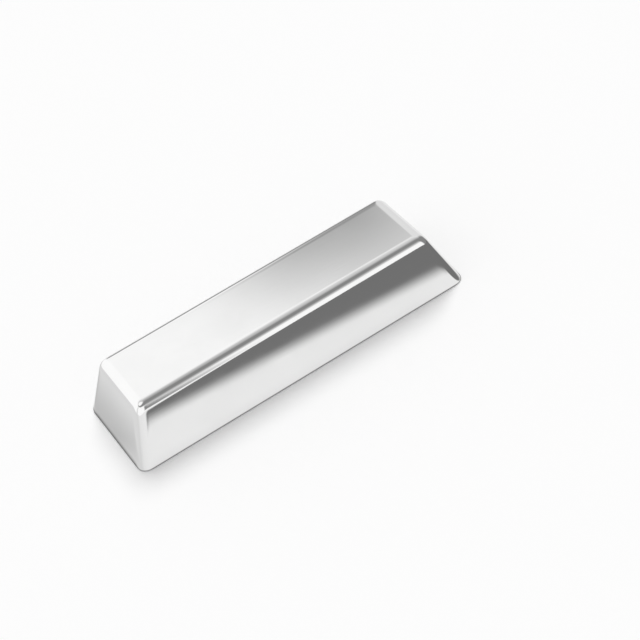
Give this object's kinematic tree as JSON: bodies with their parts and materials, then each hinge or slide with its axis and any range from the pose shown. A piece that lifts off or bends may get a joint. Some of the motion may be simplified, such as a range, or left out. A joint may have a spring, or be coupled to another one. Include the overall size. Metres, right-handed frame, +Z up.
{
  "type": "silver bar",
  "caption": "Plain cast silver bar in a loaf shape: a solid tapered block with leaning walls and softly rounded edges, lying on its large flat face.",
  "frame": {"origin": "middle of the bar's underside, the large flat face it lies on", "axes": "+X along the bar's length, +Y across its width, +Z up through its height"},
  "size_m": [0.2212, 0.0706, 0.0375],
  "materials": {
    "silver": "polished cast fine silver, bright neutral white metal with soft mirror-like faces"
  },
  "bodies": {
    "root": {"silver_bar": "silver"}
  },
  "joints": []
}
